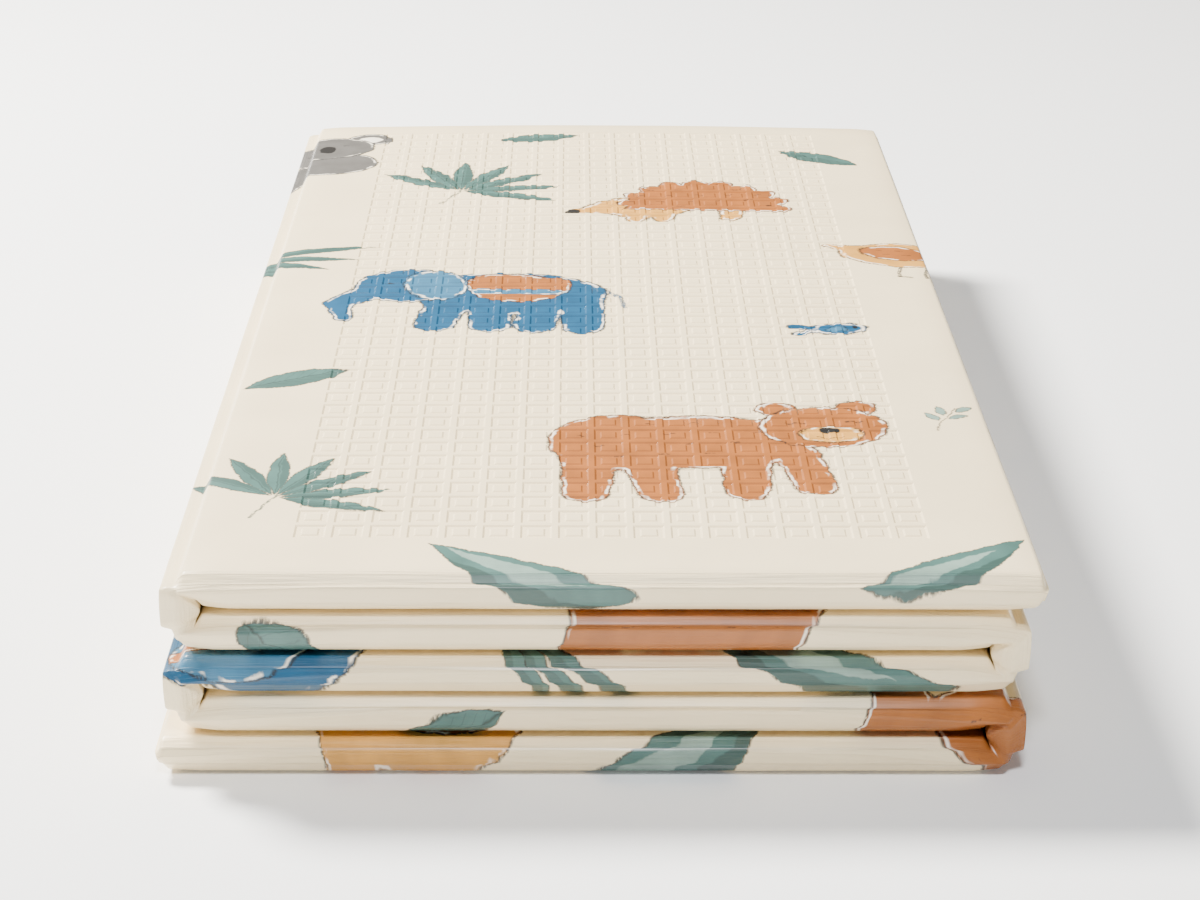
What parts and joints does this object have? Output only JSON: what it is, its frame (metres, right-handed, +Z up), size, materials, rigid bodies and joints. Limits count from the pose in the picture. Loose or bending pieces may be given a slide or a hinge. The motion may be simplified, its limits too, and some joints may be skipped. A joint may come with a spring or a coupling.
{
  "type": "folded baby play mat",
  "caption": "Padded foam play mat folded in half and then back and forth into a flat stack, with pressed fold strips and a thin rim.",
  "frame": {"origin": "middle of the footprint, on the surface that the stack rests on", "axes": "+X to the right along the stack's short side, seen from its closed half fold, +Y from the closed half fold to the open long sides, +Z up"},
  "size_m": [0.3968, 0.7486, 0.1029],
  "materials": {
    "film": "satin"
  },
  "bodies": {
    "root": {"play_mat": "film"}
  },
  "joints": []
}
